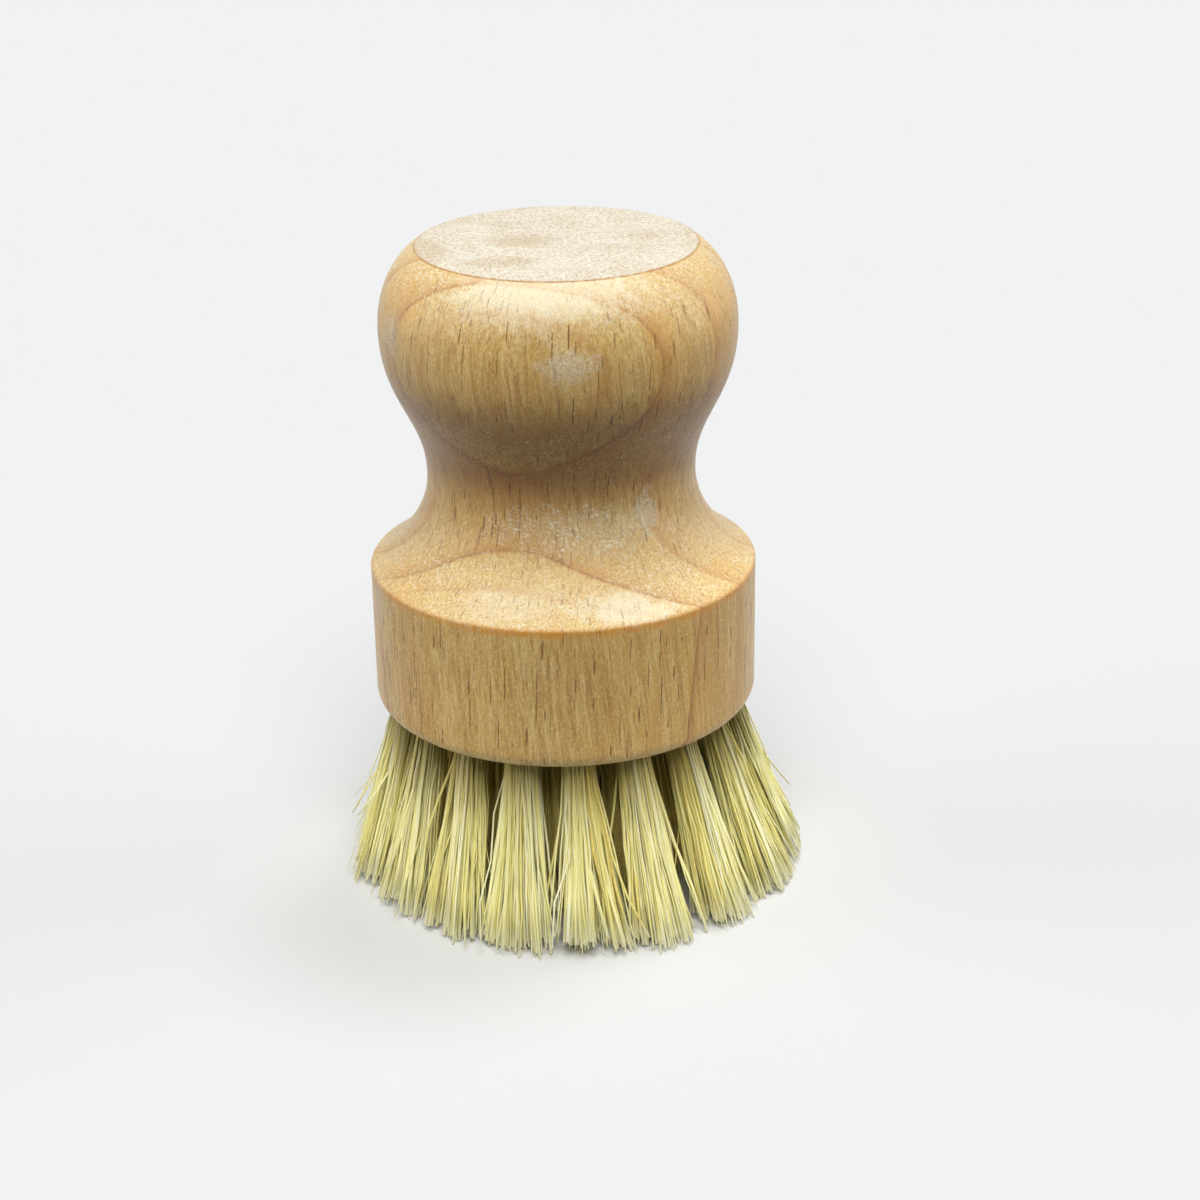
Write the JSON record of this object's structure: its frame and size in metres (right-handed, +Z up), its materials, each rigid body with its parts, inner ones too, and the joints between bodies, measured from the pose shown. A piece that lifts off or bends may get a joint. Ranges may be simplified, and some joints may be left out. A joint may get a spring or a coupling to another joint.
{
  "type": "dish brush",
  "caption": "Palm-held wooden dish brush: a turned knob handle flares into a round block set with stiff, fanned plant-fibre bristles.",
  "frame": {"origin": "on the plane of the trimmed bristle tips, under the middle of the handle", "axes": "+Z up along the turned handle to the flat on its knob, -Y towards the front tuft, +X to the right of it"},
  "size_m": [0.0602, 0.0609, 0.0848],
  "materials": {
    "wood": "oiled, satin, end grain bare on the knob's flat",
    "bristle": "dry cut plant fibre, slight sheen",
    "staple_wire": "galvanised flat wire"
  },
  "bodies": {
    "root": {"turned_handle": "wood", "tuft_outer_01": "bristle", "tuft_outer_02": "bristle", "tuft_outer_03": "bristle", "tuft_outer_04": "bristle", "tuft_outer_05": "bristle", "tuft_outer_06": "bristle", "tuft_outer_07": "bristle", "tuft_outer_08": "bristle", "tuft_outer_09": "bristle", "tuft_outer_10": "bristle", "tuft_outer_11": "bristle", "tuft_outer_12": "bristle", "tuft_outer_13": "bristle", "tuft_outer_14": "bristle", "tuft_outer_15": "bristle", "tuft_outer_16": "bristle", "tuft_outer_17": "bristle", "tuft_outer_18": "bristle", "tuft_middle_01": "bristle", "tuft_middle_02": "bristle", "tuft_middle_03": "bristle", "tuft_middle_04": "bristle", "tuft_middle_05": "bristle", "tuft_middle_06": "bristle", "tuft_middle_07": "bristle", "tuft_middle_08": "bristle", "tuft_middle_09": "bristle", "tuft_middle_10": "bristle", "tuft_centre_01": "bristle", "staple_outer_01": "staple_wire", "staple_outer_02": "staple_wire", "staple_outer_03": "staple_wire", "staple_outer_04": "staple_wire", "staple_outer_05": "staple_wire", "staple_outer_06": "staple_wire", "staple_outer_07": "staple_wire", "staple_outer_08": "staple_wire", "staple_outer_09": "staple_wire", "staple_outer_10": "staple_wire", "staple_outer_11": "staple_wire", "staple_outer_12": "staple_wire", "staple_outer_13": "staple_wire", "staple_outer_14": "staple_wire", "staple_outer_15": "staple_wire", "staple_outer_16": "staple_wire", "staple_outer_17": "staple_wire", "staple_outer_18": "staple_wire", "staple_middle_01": "staple_wire", "staple_middle_02": "staple_wire", "staple_middle_03": "staple_wire", "staple_middle_04": "staple_wire", "staple_middle_05": "staple_wire", "staple_middle_06": "staple_wire", "staple_middle_07": "staple_wire", "staple_middle_08": "staple_wire", "staple_middle_09": "staple_wire", "staple_middle_10": "staple_wire", "staple_centre_01": "staple_wire"}
  },
  "joints": []
}
